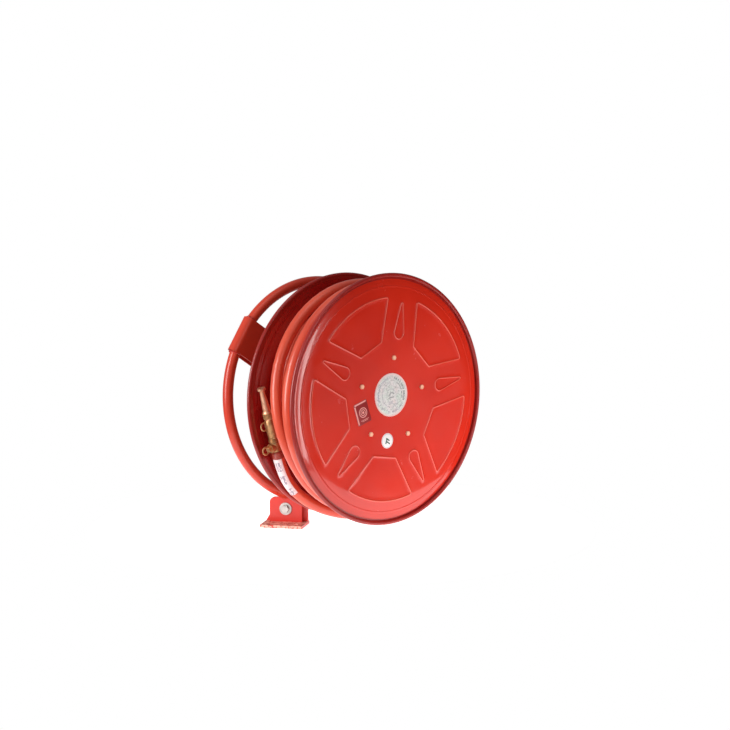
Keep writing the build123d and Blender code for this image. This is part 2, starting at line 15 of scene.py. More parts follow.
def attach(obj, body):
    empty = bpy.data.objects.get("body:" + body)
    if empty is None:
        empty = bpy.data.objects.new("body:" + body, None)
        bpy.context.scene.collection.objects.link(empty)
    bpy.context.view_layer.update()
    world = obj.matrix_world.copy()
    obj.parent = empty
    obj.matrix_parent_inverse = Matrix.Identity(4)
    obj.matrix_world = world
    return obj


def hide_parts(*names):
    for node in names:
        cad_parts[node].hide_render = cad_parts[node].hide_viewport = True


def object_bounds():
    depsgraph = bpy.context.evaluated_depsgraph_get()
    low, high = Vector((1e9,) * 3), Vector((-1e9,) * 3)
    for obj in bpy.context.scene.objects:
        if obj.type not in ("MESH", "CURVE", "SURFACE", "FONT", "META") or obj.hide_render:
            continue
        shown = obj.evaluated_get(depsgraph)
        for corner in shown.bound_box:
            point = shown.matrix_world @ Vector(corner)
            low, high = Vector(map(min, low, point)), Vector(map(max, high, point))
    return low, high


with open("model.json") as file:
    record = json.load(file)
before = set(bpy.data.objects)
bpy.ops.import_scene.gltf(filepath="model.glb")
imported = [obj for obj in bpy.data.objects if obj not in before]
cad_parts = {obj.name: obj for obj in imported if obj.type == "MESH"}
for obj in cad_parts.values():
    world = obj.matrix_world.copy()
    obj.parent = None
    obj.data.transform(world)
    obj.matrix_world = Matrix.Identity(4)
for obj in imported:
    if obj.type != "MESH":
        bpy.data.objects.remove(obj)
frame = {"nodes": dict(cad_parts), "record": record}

CAD_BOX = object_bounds()
scene = bpy.context.scene
nodes = frame["nodes"]
behaviour = frame["record"]["behaviour"]
BODY_OF = {node: body for body, members in behaviour["bodies"].items() for node in members}

# ---------------------------------------------------------------- dimensions shared with the CAD
DISC_R = 0.300
FRONT_Y = -0.356
REAR_Y = -0.191
REAR_INSET = 0.004
SHEET = 0.0016
FACE_RISE = 0.005
SHOULDER_R = 0.790 * DISC_R
SLOPE_R = 0.945 * DISC_R
SLOPE_FALL = -0.0015
GROOVE_R = 0.968 * DISC_R
GROOVE_FALL = -0.0026
ROLL_R = 0.005
HUB_HOLE_R = 0.0315
RIB_W = 0.006
TEAR_W = 0.0048
RIB_H = 0.0018
RIB_PHASE = math.radians(81)
FAN_OUTER_R = 0.818 * DISC_R
FAN_INNER_R = 0.462 * DISC_R
FAN_OUTER_HALF = math.radians(25.7)
FAN_INNER_HALF = math.radians(15.5)
FAN_ROUND = 0.007
TEAR_INNER = 0.535 * DISC_R
TEAR_OUTER = 0.760 * DISC_R
TEAR_BIG_R = 0.0175
TEAR_TIP_R = 0.0055
FANS = 5

HOOP_R = 0.271
HOOP_TUBE_R = 0.0127
HOOP_Y = -0.080
STRAP_ANGLE = math.radians(147)
STRAP_WIDTH = 0.090
POST_R = 0.03015
PLATE_T = 0.006
FOOT_BASE_T = 0.007
HOSE_R = 0.0135
HOSE_EXIT = (0.1197, -0.205, 0.0820)
TAIL_END = (0.1540, -0.205, 0.0528)
# the free end of the hose, from the nozzle back to the outermost turn
HOSE_END = [
    (-0.227, -0.215, -0.1215),
    (-0.2115, -0.215, -0.174),
    (-0.175, -0.217, -0.222),
    (-0.128, -0.222, -0.256),
    (-0.070, -0.232, -0.280),
    (-0.008, -0.243, -0.292),
    (0.055, -0.250, -0.285),
    (0.115, -0.254, -0.260),
    (0.167, -0.254, -0.219),
    (0.204, -0.254, -0.177),
]

LABEL_R = 0.0515
LABEL_RISE = 0.012
LABEL_T = 0.0008
STICKER_T = 0.0004
ROUND_STICKER_R = 0.018
ROUND_STICKER_AT = (-0.0122, -0.0967)
SQUARE_STICKER = (0.042, 0.054)
SQUARE_STICKER_AT = (-0.0896, -0.0233)
SQUARE_STICKER_TURN = math.radians(18.2)
FACE_FRONT = FRONT_Y - FACE_RISE


# ---------------------------------------------------------------- helpers
AXIS_GAP = 0.0001  # a lathe corner on the axis stands this far off it, in millimetres
LEVEL_ANGLE = math.radians(0.4)  # CAD facets closer to level than this are joined
EDGE_ANGLE = math.radians(32)  # CAD edges sharper than this are rounded


def linear(r, g, b):
    """Linear RGBA of an sRGB colour given from 0 to 255."""
    values = [v / 255 for v in (r, g, b)]
    return [v / 12.92 if v <= 0.04045 else ((v + 0.055) / 1.055) ** 2.4 for v in values] + [1.0]


def polar(radius, angle):
    return (radius * math.cos(angle), radius * math.sin(angle))


def circle(radius, height, count):
    """Evenly spaced points round a level circle about the Z axis."""
    return [(*polar(radius, math.tau * k / count), height) for k in range(count)]


def spread(start, stop, count):
    """Evenly spaced values from start to stop, both included."""
    return [start + (stop - start) * i / (count - 1) for i in range(count)]


def add_piece(name, mesh, material, body, replaced=()):
    """A new piece of the object that rides on a body and stands for the CAD nodes it replaces."""
    piece = bpy.data.objects.new(name, mesh)
    scene.collection.objects.link(piece)
    piece.data.materials.append(material)
    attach(piece, body)
    if replaced:
        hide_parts(*replaced)
    return piece


def smooth(mesh, angle=35):
    """Smooth shading, with edges sharper than the angle left crisp."""
    mesh.shade_smooth()
    mesh.set_sharp_from_angle(angle=math.radians(angle))
    return mesh


def even_shading(piece):
    """Large flat faces stay flat in their highlights beside rounded edges."""
    modifier = piece.modifiers.new("even_shading", "WEIGHTED_NORMAL")
    modifier.keep_sharp = True
    modifier.weight = 90
    return piece


def mesh_from(name, points, faces, place=None, angle=35, merge=0.000002):
    """Mesh from points and faces, with points nearer than merge joined and normals facing outwards."""
    bm = bmesh.new()
    verts = [bm.verts.new(p) for p in points]
    for face in faces:
        bm.faces.new([verts[i] for i in face])
    bmesh.ops.remove_doubles(bm, verts=bm.verts, dist=merge)
    bmesh.ops.recalc_face_normals(bm, faces=bm.faces)
    mesh = bpy.data.meshes.new(name)
    bm.to_mesh(mesh)
    bm.free()
    if place is not None:
        mesh.transform(place)
    return smooth(mesh, angle)


def bridged(rings, closed_along=False):
    """Points and faces of quads between rings of equal length."""
    count = len(rings[0])
    points = [p for ring in rings for p in ring]
    faces = []
    pairs = len(rings) if closed_along else len(rings) - 1
    for i in range(pairs):
        a, b = i * count, (i + 1) % len(rings) * count
        for k in range(count):
            n = (k + 1) % count
            faces.append((a + k, a + n, b + n, b + k))
    return points, faces


def lathe(name, profile, place, segments, angle=35):
    """Closed solid turned about local Z from (radius, height) corners in millimetres."""
    rings = [circle(max(radius, AXIS_GAP) / 1000, height / 1000, segments) for radius, height in profile]
    return mesh_from(name, *bridged(rings, closed_along=True), place, angle)


def rounded(profile, radius, steps=3):
    """The corners of a closed (radius, height) outline eased by short arcs."""
    eased = []
    for i, corner in enumerate(profile):
        here = Vector(corner)
        ends = []
        for other in (profile[i - 1], profile[(i + 1) % len(profile)]):
            along = Vector(other) - here
            ends.append(here + along.normalized() * min(radius, along.length * 0.4))
        for share in spread(0, 1, steps):
            eased.append(tuple(ends[0].lerp(here, share).lerp(here.lerp(ends[1], share), share)))
    return eased


def refined(node, material, width):
    """A piece made from a CAD node's own shape, with its sharp edges rounded off."""
    bm = bmesh.new()
    bm.from_mesh(nodes[node].data)
    bmesh.ops.remove_doubles(bm, verts=bm.verts, dist=0.00001)
    bmesh.ops.dissolve_limit(bm, angle_limit=LEVEL_ANGLE, verts=bm.verts, edges=bm.edges)
    sharp = [e for e in bm.edges if len(e.link_faces) == 2 and e.calc_face_angle() > EDGE_ANGLE]
    bmesh.ops.bevel(
        bm, geom=sharp, offset=width, segments=2, profile=0.6, affect="EDGES", clamp_overlap=True
    )
    mesh = bpy.data.meshes.new(f"finished_{node}")
    bm.to_mesh(mesh)
    bm.free()
    piece = add_piece(mesh.name, smooth(mesh), material, BODY_OF[node], [node])
    return even_shading(piece)


# ---------------------------------------------------------------- materials
def new_material(name):
    material = bpy.data.materials.new(name)
    material.use_nodes = True
    return material, material.node_tree, material.node_tree.nodes["Principled BSDF"]


def noise_value(tree, scale, detail=3.0, roughness=0.5):
    """Noise from 0 to 1 in object space; scale is in features per metre."""
    place = tree.nodes.new("ShaderNodeTexCoord")
    texture = tree.nodes.new("ShaderNodeTexNoise")
    texture.inputs["Scale"].default_value = scale
    texture.inputs["Detail"].default_value = detail
    texture.inputs["Roughness"].default_value = roughness
    tree.links.new(place.outputs["Object"], texture.inputs["Vector"])
    return texture.outputs["Fac"]


def ramp(tree, value, stops):
    """Colour ramp over a value; stops are (position, linear colour)."""
    node = tree.nodes.new("ShaderNodeValToRGB")
    elements = node.color_ramp.elements
    while len(elements) < len(stops):
        elements.new(0.5)
    for element, (position, colour) in zip(elements, stops):
        element.position = position
        element.color = colour
    tree.links.new(value, node.inputs["Fac"])
    return node.outputs["Color"]


def mapped(tree, value, low, high, start, end):
    """The value's range start..end mapped onto low..high."""
    node = tree.nodes.new("ShaderNodeMapRange")
    node.inputs["From Min"].default_value = start
    node.inputs["From Max"].default_value = end
    node.inputs["To Min"].default_value = low
    node.inputs["To Max"].default_value = high
    tree.links.new(value, node.inputs["Value"])
    return node.outputs["Result"]


def mix(tree, factor, a, b):
    """Colour a where the factor is 0 and b where it is 1; either may be a socket or a colour."""
    node = tree.nodes.new("ShaderNodeMix")
    node.data_type = "RGBA"
    tree.links.new(factor, node.inputs["Factor"])
    for side, colour in (("A", a), ("B", b)):
        socket = [s for s in node.inputs if s.name == side and s.type == "RGBA"][0]
        if isinstance(colour, bpy.types.NodeSocket):
            tree.links.new(colour, socket)
        else:
            socket.default_value = colour
    return [s for s in node.outputs if s.type == "RGBA"][0]


def bump(tree, shader, height, distance, strength, below=None):
    """Adds a bump layer to a shader, over any layer below it."""
    node = tree.nodes.new("ShaderNodeBump")
    node.inputs["Distance"].default_value = distance
    node.inputs["Strength"].default_value = strength
    tree.links.new(height, node.inputs["Height"])
    if below is not None:
        tree.links.new(below, node.inputs["Normal"])
    tree.links.new(node.outputs["Normal"], shader.inputs["Normal"])
    return node.outputs["Normal"]


def paint(name, deep, bright, gloss=0.2, coat=0.7):
    """Enamel on steel: faint shade drift, orange peel, a few dull patches and fine chips."""
    material, tree, shader = new_material(name)
    drift = noise_value(tree, 5, 2)
    tone = ramp(tree, drift, [(0.35, linear(*deep)), (0.65, linear(*bright))])
    specks = mapped(tree, noise_value(tree, 260, 4, 0.7), 0, 0.5, 0.70, 0.74)
    tree.links.new(mix(tree, specks, tone, linear(120, 20, 16)), shader.inputs["Base Color"])
    dull = noise_value(tree, 22, 5, 0.6)
    tree.links.new(mapped(tree, dull, gloss - 0.04, gloss + 0.1, 0.3, 0.75), shader.inputs["Roughness"])
    shader.inputs["Coat Weight"].default_value = coat
    shader.inputs["Coat Roughness"].default_value = 0.06
    shader.inputs["IOR"].default_value = 1.5
    dents = bump(tree, shader, noise_value(tree, 11, 1), 0.0006, 0.35)
    bump(tree, shader, noise_value(tree, 420, 2), 0.00005, 0.5, dents)
    return material


def metal(name, dark, light, roughness, tarnish=None):
    """Bare or plated metal with uneven polish, tarnished in patches where a colour is given."""
    material, tree, shader = new_material(name)
    shader.inputs["Metallic"].default_value = 1.0
    tone = ramp(tree, noise_value(tree, 40, 4), [(0.3, linear(*dark)), (0.7, linear(*light))])
    if tarnish:
        patches = mapped(tree, noise_value(tree, 75, 5, 0.65), 0, 1, 0.52, 0.72)
        tone = mix(tree, patches, tone, linear(*tarnish))
    tree.links.new(tone, shader.inputs["Base Color"])
    polish = noise_value(tree, 300, 3, 0.6)
    uneven = mapped(tree, polish, roughness - 0.06, roughness + 0.1, 0.3, 0.7)
    tree.links.new(uneven, shader.inputs["Roughness"])
    bump(tree, shader, polish, 0.00008, 0.4)
    return material


def rubber(name, deep, bright, roughness=0.5, sheen=0.0, coat=0.0):
    """Rubber, plastic, print or dull plating: no metallic share, a fine grain and faint scuffs."""
    material, tree, shader = new_material(name)
    tone = ramp(tree, noise_value(tree, 9, 4), [(0.3, linear(*deep)), (0.7, linear(*bright))])
    tree.links.new(tone, shader.inputs["Base Color"])
    scuff = noise_value(tree, 60, 5, 0.6)
    worn = mapped(tree, scuff, roughness - 0.08, roughness + 0.12, 0.3, 0.7)
    tree.links.new(worn, shader.inputs["Roughness"])
    shader.inputs["Sheen Weight"].default_value = sheen
    shader.inputs["Coat Weight"].default_value = coat
    shader.inputs["Coat Roughness"].default_value = 0.25
    bump(tree, shader, noise_value(tree, 900, 2), 0.00006, 0.5)
    return material


def foil(name):
    """Pale printed foil: fine sparkle over faint green and pink drifts."""
    material, tree, shader = new_material(name)
    drift = [(0.35, linear(222, 230, 218)), (0.5, linear(236, 230, 228)), (0.65, linear(244, 224, 220))]
    tint = ramp(tree, noise_value(tree, 26, 3), drift)
    sparkle = mapped(tree, noise_value(tree, 230, 4, 0.7), 0, 0.7, 0.46, 0.66)
    tree.links.new(mix(tree, sparkle, tint, linear(158, 156, 152)), shader.inputs["Base Color"])
    shader.inputs["Metallic"].default_value = 0.25
    shine = noise_value(tree, 700, 3, 0.6)
    tree.links.new(mapped(tree, shine, 0.28, 0.5, 0.3, 0.7), shader.inputs["Roughness"])
    bump(tree, shader, shine, 0.00006, 0.5)
    return material


def chipped(name, tone, bare, start):
    """Old paint worn through in patches to pale primer, with dirt at the edges of the patches; the palest
    patches also stand in for a painted highlight.
    """
    material, tree, shader = new_material(name)
    wear = noise_value(tree, 120, 5, 0.7)
    steps = (start - 0.04, start, start + 0.03, 0.8)
    layers = (tone, (120, 40, 34), bare, (250, 214, 200))
    stops = [(position, linear(*colour)) for position, colour in zip(steps, layers)]
    tree.links.new(ramp(tree, wear, stops), shader.inputs["Base Color"])
    tree.links.new(mapped(tree, wear, 0.3, 0.7, 0.3, 0.7), shader.inputs["Roughness"])
    bump(tree, shader, wear, 0.0006, 0.6)
    return material


# colours are sRGB, from 0 to 255
RED = paint("red_enamel", (210, 38, 18), (222, 44, 22))
# the rear disc's red is the front's red darkened as painted shade
SHADED_REAR_RED = paint("rear_shaded_enamel", (164, 24, 24), (178, 28, 28))
# lighter red on the front disc's rib crests as painted highlight
CREST_HIGHLIGHT_RED = paint("crest_highlight_enamel", (232, 84, 66), (242, 100, 80))
# darker red laid on the groove and the rolled rim as painted shade
GROOVE_SHADE_RED = paint("groove_shade_enamel", (150, 26, 20), (166, 32, 24), 0.3, 0.3)
HOOP_RED = paint("hoop_enamel", (206, 58, 36), (222, 70, 44), 0.3, 0.12)
FOOT_RED = paint("foot_enamel", (208, 44, 34), (222, 54, 42), 0.3, 0.15)
WELD_RED = paint("weld_enamel", (186, 40, 32), (204, 50, 40), 0.34, 0.1)
HOSE_RED = rubber("hose_cover", (214, 72, 46), (230, 86, 56), 0.34, 0.06, 0.45)
BRASS = metal("cast_brass", (184, 136, 92), (216, 168, 122), 0.46, tarnish=(132, 92, 62))
TIP_BRASS = metal("jet_brass", (240, 180, 144), (252, 204, 172), 0.5, tarnish=(196, 134, 100))
PLATED = rubber("plated_head", (240, 168, 134), (252, 196, 160), 0.35)
ZINC = metal("zinc_plate", (176, 172, 168), (212, 206, 200), 0.36)
BLACK = rubber("black_rubber", (18, 18, 19), (34, 34, 35))
SILVER = foil("label_foil")
# worn paint on the foot's base, its pale patches partly painted highlight along the base's edge
WORN_AND_HIGHLIT_BASE = chipped("worn_base_paint_and_highlight", (214, 56, 46), (250, 168, 146), 0.44)
CRIMP_RED = rubber("crimp_red", (140, 44, 34), (176, 62, 46), 0.35, coat=0.3)
RIM_PINK = rubber("label_rim", (232, 196, 190), (244, 212, 206), 0.35)
WHITE = rubber("white_print", (242, 236, 234), (252, 248, 246), 0.4)
SLEEVE = rubber("sleeve_film", (240, 216, 216), (250, 232, 232), 0.3, coat=0.3)
LILAC = rubber("sleeve_print", (150, 138, 152), (178, 166, 178), 0.35)
INK = rubber("dark_print", (92, 96, 92), (120, 122, 116), 0.45)
LABEL_GREY = rubber("label_grey", (150, 148, 146), (172, 168, 166), 0.4)
GREEN_INK = rubber("green_print", (20, 66, 52), (34, 84, 66), 0.45)
STICKER_RED = rubber("sticker_red", (138, 20, 22), (156, 26, 26), 0.35)
STICKER_PINK = rubber("sticker_pink", (232, 150, 142), (242, 170, 160), 0.35)


# ---------------------------------------------------------------- pressed discs
SEGMENTS = 288
PANEL_R = 0.840 * DISC_R
SHOULDER_BEND = ((SLOPE_R - SHOULDER_R) ** 2 + (FACE_RISE - SLOPE_FALL) ** 2) / (2 * (FACE_RISE - SLOPE_FALL))
GRID = 0.007
GRID_STAGGER = 0.37
RIB_CLEAR = 0.0035  # grid points keep this far from a rib's loops
RIB_STEPS = 8
WAVE = 0.00012
WAVE_SCALE = 11
WAVE_FADE = 0.03  # the waves die away over this width before the shoulder
CREASE_R = 0.896 * DISC_R
CREASE_W = 0.0026
CREASE_H = 0.0007
GROOVE_EDGE_R = 0.95 * DISC_R
# rib faces above this share of the rib's height take the painted highlight
CREST_HIGHLIGHT_SHARE = 0.45


def sheet_rise(radius):
    """Height of the pressed sheet's outer face over the rim's plane."""
    past = radius - SHOULDER_R
    if past <= 0:
        return FACE_RISE
    if radius <= SLOPE_R:
        crease = CREASE_H * max(0.0, 1 - ((radius - CREASE_R) / CREASE_W) ** 2)
        return FACE_RISE - SHOULDER_BEND + math.sqrt(SHOULDER_BEND**2 - past**2) + crease
    share = (radius - SLOPE_R) / (GROOVE_R - SLOPE_R)
    return SLOPE_FALL + (GROOVE_FALL - SLOPE_FALL) * share


def corner_turn(at, start, stop, steps=7):
    """Spine points that stand still at a corner while their normal turns."""
    return [(at, polar(1, a)) for a in spread(start, stop, steps)]


def straight(a, b, angle, steps):
    return [(tuple(Vector(a).lerp(Vector(b), t)), polar(1, angle)) for t in spread(0, 1, steps)[1:-1]]


def fan_spine():
    """Inset outline of the panel between two teardrops as (point, outward normal), centred on local +X."""
    outer = Vector(polar(FAN_OUTER_R, FAN_OUTER_HALF))
    inner = Vector(polar(FAN_INNER_R, FAN_INNER_HALF))
    along = (outer - inner).normalized()
    side = math.atan2(along.x, -along.y)
    start = inner - Vector(polar(FAN_ROUND, side))
    reach = FAN_OUTER_R - FAN_ROUND
    middle = start.dot(along)
    top = start + along * (-middle + math.sqrt(middle**2 - start.length_squared + reach**2))
    low = start + along * ((inner.x + FAN_ROUND - start.x) / along.x)
    turn = math.atan2(top.y, top.x)
    top_low = (top.x, -top.y)
    low_low = (low.x, -low.y)
    spine = [(polar(reach, a), polar(1, a)) for a in spread(-turn, turn, 90)[1:-1]]
    spine += corner_turn(tuple(top), turn, side)
    spine += straight(top, low, side, 44)
    spine += corner_turn(tuple(low), side, math.pi)
    spine += straight(low, low_low, math.pi, 28)
    spine += corner_turn(low_low, math.pi, math.tau - side)
    spine += straight(low_low, top_low, math.tau - side, 44)
    spine += corner_turn(top_low, math.tau - side, math.tau - turn)
    return spine


def tear_spine():
    """Inset outline of a teardrop as (point, outward normal), its narrow end outwards."""
    core = TEAR_BIG_R - TEAR_TIP_R
    lean = math.acos(core / (TEAR_OUTER - TEAR_INNER))
    tip = (TEAR_OUTER, 0)
    high = (TEAR_INNER + core * math.cos(lean), core * math.sin(lean))
    spine = corner_turn(tip, -lean, lean, 9)
    spine += straight(tip, high, lean, 30)
    for a in spread(lean, math.tau - lean, 40):
        spine.append(((TEAR_INNER + core * math.cos(a), core * math.sin(a)), polar(1, a)))
    spine += straight((high[0], -high[1]), tip, -lean, 30)
    return spine


def rib_loops():
    """Closed loops across each pressed rib as (points, height)."""
    loops = []
    for i in range(FANS):
        for spine, edge, width, turn in (
            (tear_spine(), TEAR_TIP_R, TEAR_W, RIB_PHASE),
            (fan_spine(), FAN_ROUND, RIB_W, RIB_PHASE + math.pi / FANS),
        ):
            turn += math.tau * i / FANS
            c, s = math.cos(turn), math.sin(turn)
            for step in range(RIB_STEPS + 1):
                grow = edge - width * step / RIB_STEPS
                height = RIB_H * (0.5 - 0.5 * math.cos(math.tau * step / RIB_STEPS))
                loop = [(p[0] + n[0] * grow, p[1] + n[1] * grow) for p, n in spine]
                loops.append(([(x * c - y * s, x * s + y * c) for x, y in loop], height))
    return loops


def flat_mesh():
    """Points (u, v, rib height) and triangles of the disc's flat part, with an edge loop at the hub hole."""
    loops = rib_loops()
    points = [(x, y, h) for loop, h in loops for x, y in loop]
    near = kdtree.KDTree(len(points))
    for i, (x, y, h) in enumerate(points):
        near.insert((x, y, 0), i)
    near.balance()
    edges = []
    start = 0
    for loop, _ in loops:
        edges += [(start + k, start + (k + 1) % len(loop)) for k in range(len(loop))]
        start += len(loop)
    for radius in (HUB_HOLE_R, PANEL_R):
        edges += [(start + k, start + (k + 1) % SEGMENTS) for k in range(SEGMENTS)]
        points += circle(radius, 0.0, SEGMENTS)
        start += SEGMENTS
    radius = GRID
    while radius < PANEL_R - GRID / 2:
        count = round(math.tau * radius / GRID)
        clear = abs(radius - HUB_HOLE_R) > GRID / 3
        for k in range(count if clear else 0):
            x, y = polar(radius, math.tau * (k + GRID_STAGGER * radius / GRID) / count)
            if near.find((x, y, 0))[2] > RIB_CLEAR:
                points.append((x, y, 0.0))
        radius += GRID
    flat = [Vector((x, y)) for x, y, h in points]
    verts, _, faces, sources, _, _ = delaunay_2d_cdt(flat, edges, [], 0, 0.0000001)
    lifted = []
    for v, source in zip(verts, sources):
        lifted.append((v.x, v.y, points[source[0]][2] if source else 0.0))
    return lifted, faces


FLAT_POINTS, FLAT_FACES = flat_mesh()


def rim_profile(inset):
    """(radius, rise) from the flat part out over the rolled edge and back along the inside."""
    shoulder = spread(PANEL_R, SLOPE_R, 40)
    groove = spread(SLOPE_R, GROOVE_R, 4)
    outside = [(r, sheet_rise(r)) for r in shoulder + groove[1:]]
    roll = []
    for degrees in range(204, -136, -10):
        x, y = polar(ROLL_R, math.radians(degrees))
        roll.append((DISC_R - ROLL_R + x, y))
    inside = [(r, sheet_rise(r) - SHEET) for r in groove[::-1] + shoulder[-2::-1]]
    inside += [(r, FACE_RISE - SHEET) for r in (SHOULDER_R, 0.6 * DISC_R, 0.3 * DISC_R)]
    return [(r - inset, rise) for r, rise in outside + roll + inside]


def disc_mesh(name, inset, with_hole, to_place):
    """One pressed disc as a closed sheet; to_place turns (u, v, rise) into a point."""
    points = []
    for u, v, height in FLAT_POINTS:
        radius = math.hypot(u, v)
        fade = min(1.0, max(0.0, (PANEL_R - radius) / WAVE_FADE))
        wave = noise.noise(Vector((u * WAVE_SCALE, v * WAVE_SCALE, inset * 900))) * WAVE * fade
        rise = sheet_rise(radius + (inset if radius > SHOULDER_R / 2 else 0))
        points.append((u, v, rise + height + wave))
    faces = []
    for face in FLAT_FACES:
        middle = sum((Vector(FLAT_POINTS[i][:2]) for i in face), Vector((0, 0))) / len(face)
        if not with_hole or middle.length > HUB_HOLE_R:
            faces.append(tuple(face))
    profile = rim_profile(inset)
    profile[0] = (PANEL_R, sheet_rise(PANEL_R + inset))
    profile += [(HUB_HOLE_R, FACE_RISE - SHEET)]
    profile += [(HUB_HOLE_R, FACE_RISE)] if with_hole else [(0.0, FACE_RISE - SHEET)]
    more_points, more_faces = bridged([circle(radius, rise, SEGMENTS) for radius, rise in profile])
    start = len(points)
    points += more_points
    faces += [tuple(start + i for i in face) for face in more_faces]
    return mesh_from(name, [to_place(*p) for p in points], faces, angle=50, merge=0.00005)


def shade_rim_and_light_crests(panel, inset, rim_y, outward, crest):
    """Painted shade darkens the rolled rim and the groove inside it; the ribs' crests take a lighter colour
    of their own as painted highlight.
    """
    panel.data.materials.append(GROOVE_SHADE_RED)
    panel.data.materials.append(crest)
    for polygon in panel.data.polygons:
        middle = polygon.center
        radius = math.hypot(middle.x, middle.z)
        # faces out past the groove's edge take the painted shade
        if GROOVE_EDGE_R < radius + inset:
            polygon.material_index = 1
        # faces near a rib's crest take the crest colour, a painted highlight
        elif (middle.y - rim_y) * outward > sheet_rise(radius + inset) + CREST_HIGHLIGHT_SHARE * RIB_H:
            polygon.material_index = 2


def make_discs():
    front = disc_mesh("front_panel", 0.0, False, lambda u, v, s: (u, FRONT_Y - s, v))
    panel = add_piece("front_panel", front, RED, "reel", ["front_disc"])
    shade_rim_and_light_crests(panel, 0.0, FRONT_Y, -1, CREST_HIGHLIGHT_RED)
    rear = disc_mesh("rear_panel", REAR_INSET, True, lambda u, v, s: (u, REAR_Y + s, -v))
    panel = add_piece("rear_panel", rear, SHADED_REAR_RED, "reel", ["rear_disc"])
    # the rear disc's crests keep the full red, lighter than its painted shade: a painted highlight
    shade_rim_and_light_crests(panel, REAR_INSET, REAR_Y, 1, RED)


make_discs()


# ---------------------------------------------------------------- hose
FIRST_LAYER_R = 0.1475
LAYER = 0.0222
COIL_FRONT = -0.3445
COIL_BACK = -0.2030
COIL_TURNS = 28.166
FULL_LAYERS = 4
LAYER_TURNS = 4.9
FIFTH_R = 0.243
TOP_R = 0.270
POINTS_PER_TURN = 16
START_Y = COIL_BACK - 0.002


def winding():
    """(turns, radius, y) along the wound hose: four full layers, then two on the front part only."""
    stops = [
        (0.00, 0.167, START_Y),
        (0.07, 0.181, START_Y),
        (0.14, 0.181, START_Y),
        (0.24, 0.169, START_Y),
        (0.36, 0.154, START_Y),
        (0.50, FIRST_LAYER_R, COIL_BACK - 0.004),
    ]
    turns, y = 0.5, COIL_BACK - 0.004
    for layer in range(FULL_LAYERS):
        radius = FIRST_LAYER_R + layer * LAYER
        if layer:
            turns += 0.35
            stops.append((turns, radius, y))
        y = COIL_FRONT if layer % 2 == 0 else COIL_BACK
        turns += LAYER_TURNS
        stops.append((turns, radius, y))
    stops.append((turns + 0.8, FIFTH_R, -0.266))
    end = COIL_TURNS
    stops += [
        (end - 3.20, FIFTH_R, COIL_FRONT),
        (end - 2.85, 0.2695, -0.3435),
        (end - 2.66, TOP_R, -0.3395),
        (end - 2.55, TOP_R, -0.3370),
        (end - 2.20, TOP_R, -0.3350),
        (end - 1.76, TOP_R, -0.3110),
        (end - 1.66, TOP_R, -0.3125),
        (end - 1.60, TOP_R, -0.3100),
        (end - 1.49, TOP_R, -0.3080),
        (end - 1.20, TOP_R, -0.3030),
        (end - 0.80, 0.2695, -0.2810),
        (end - 0.74, 0.2690, -0.2825),
        (end - 0.70, 0.2690, -0.2860),
        (end - 0.66, 0.2690, -0.2850),
        (end - 0.62, TOP_R, -0.2680),
        (end - 0.57, TOP_R, -0.2580),
        (end - 0.49, TOP_R, -0.2520),
        (end - 0.20, TOP_R, -0.2520),
        (end, TOP_R, -0.2540),
    ]
    return stops


def hose_points():
    """The whole hose: outlet, winding, then the free end to the nozzle."""
    stops = winding()
    last = Vector(HOSE_END[-1])
    end_angle = math.atan2(last.z, last.x)
    count = round(COIL_TURNS * POINTS_PER_TURN)
    outside = 1 / math.cos(math.pi * COIL_TURNS / count)
    points = [Vector(HOSE_EXIT), Vector(TAIL_END)]
    for i in range(1, count):
        turns = COIL_TURNS * i / count
        angle = end_angle + math.tau * (COIL_TURNS - turns)
        for (t0, r0, y0), (t1, r1, y1) in zip(stops, stops[1:]):
            if t0 <= turns <= t1:
                share = (turns - t0) / (t1 - t0)
                x, z = polar((r0 + (r1 - r0) * share) * outside, angle)
                points.append(Vector((x, y0 + (y1 - y0) * share, z)))
                break
    return points + [Vector(p) for p in reversed(HOSE_END)]


def spline_object(name, points, radius, material, resolution=4):
    curve = bpy.data.curves.new(name, "CURVE")
    curve.dimensions = "3D"
    curve.bevel_depth = radius
    curve.bevel_resolution = 6
    curve.use_fill_caps = True
    spline = curve.splines.new("NURBS")
    spline.points.add(len(points) - 1)
    for knot, p in zip(spline.points, points):
        knot.co = (*p, 1.0)
    spline.order_u = 3
    spline.use_endpoint_u = True
    spline.resolution_u = resolution
    curve.materials.append(material)
    piece = bpy.data.objects.new(name, curve)
    scene.collection.objects.link(piece)
    return piece


def line_of(points):
    """Dense points on the smooth line that the hose follows through its control points."""
    guide = spline_object("guide", points, 0.0, WHITE, resolution=24)
    mesh = bpy.data.meshes.new_from_object(guide)
    line = [v.co.copy() for v in mesh.vertices]
    curve = guide.data
    bpy.data.objects.remove(guide)
    bpy.data.curves.remove(curve)
    bpy.data.meshes.remove(mesh)
    return line


def make_hose(with_pieces):
    hose = spline_object("hose", hose_points(), HOSE_R, HOSE_RED)
    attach(hose, "reel")
    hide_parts("hose_coil", "hose_end")


# ---------------------------------------------------------------- printed film on the hose
SLEEVE_START = 0.011
SLEEVE_END = 0.110
SLEEVE_R = HOSE_R + 0.0006
SLEEVE_FROM = math.radians(78)
SLEEVE_TO = math.radians(258)
SLEEVE_ACROSS = 37
SLEEVE_STEP = 0.0015
TUCK_DEPTH = 0.00045
TUCK_LENGTH = 0.0012
WRINKLE = 0.00012
# the print's place across and along the film, in faces
PRINT_ACROSS = range(21, 32)
PRINT_ALONG = range(5, 20)
PRINT_REPEAT = 23
PRINT_GAP = 6  # every sixth column stays blank


def frames_along(line, start, stop, step):
    """(distance, point, side, up) at even steps along a line, measured from its first point."""
    frames = []
    walked, wanted = 0.0, start
    for a, b in zip(line, line[1:]):
        length = (b - a).length
        while length and wanted <= stop and walked + length >= wanted:
            ahead = (b - a) / length
            side = ahead.cross(Vector((0, 1, 0))).normalized()
            frames.append((wanted, a + ahead * (wanted - walked), side, side.cross(ahead)))
            wanted += step
        walked += length
    return frames


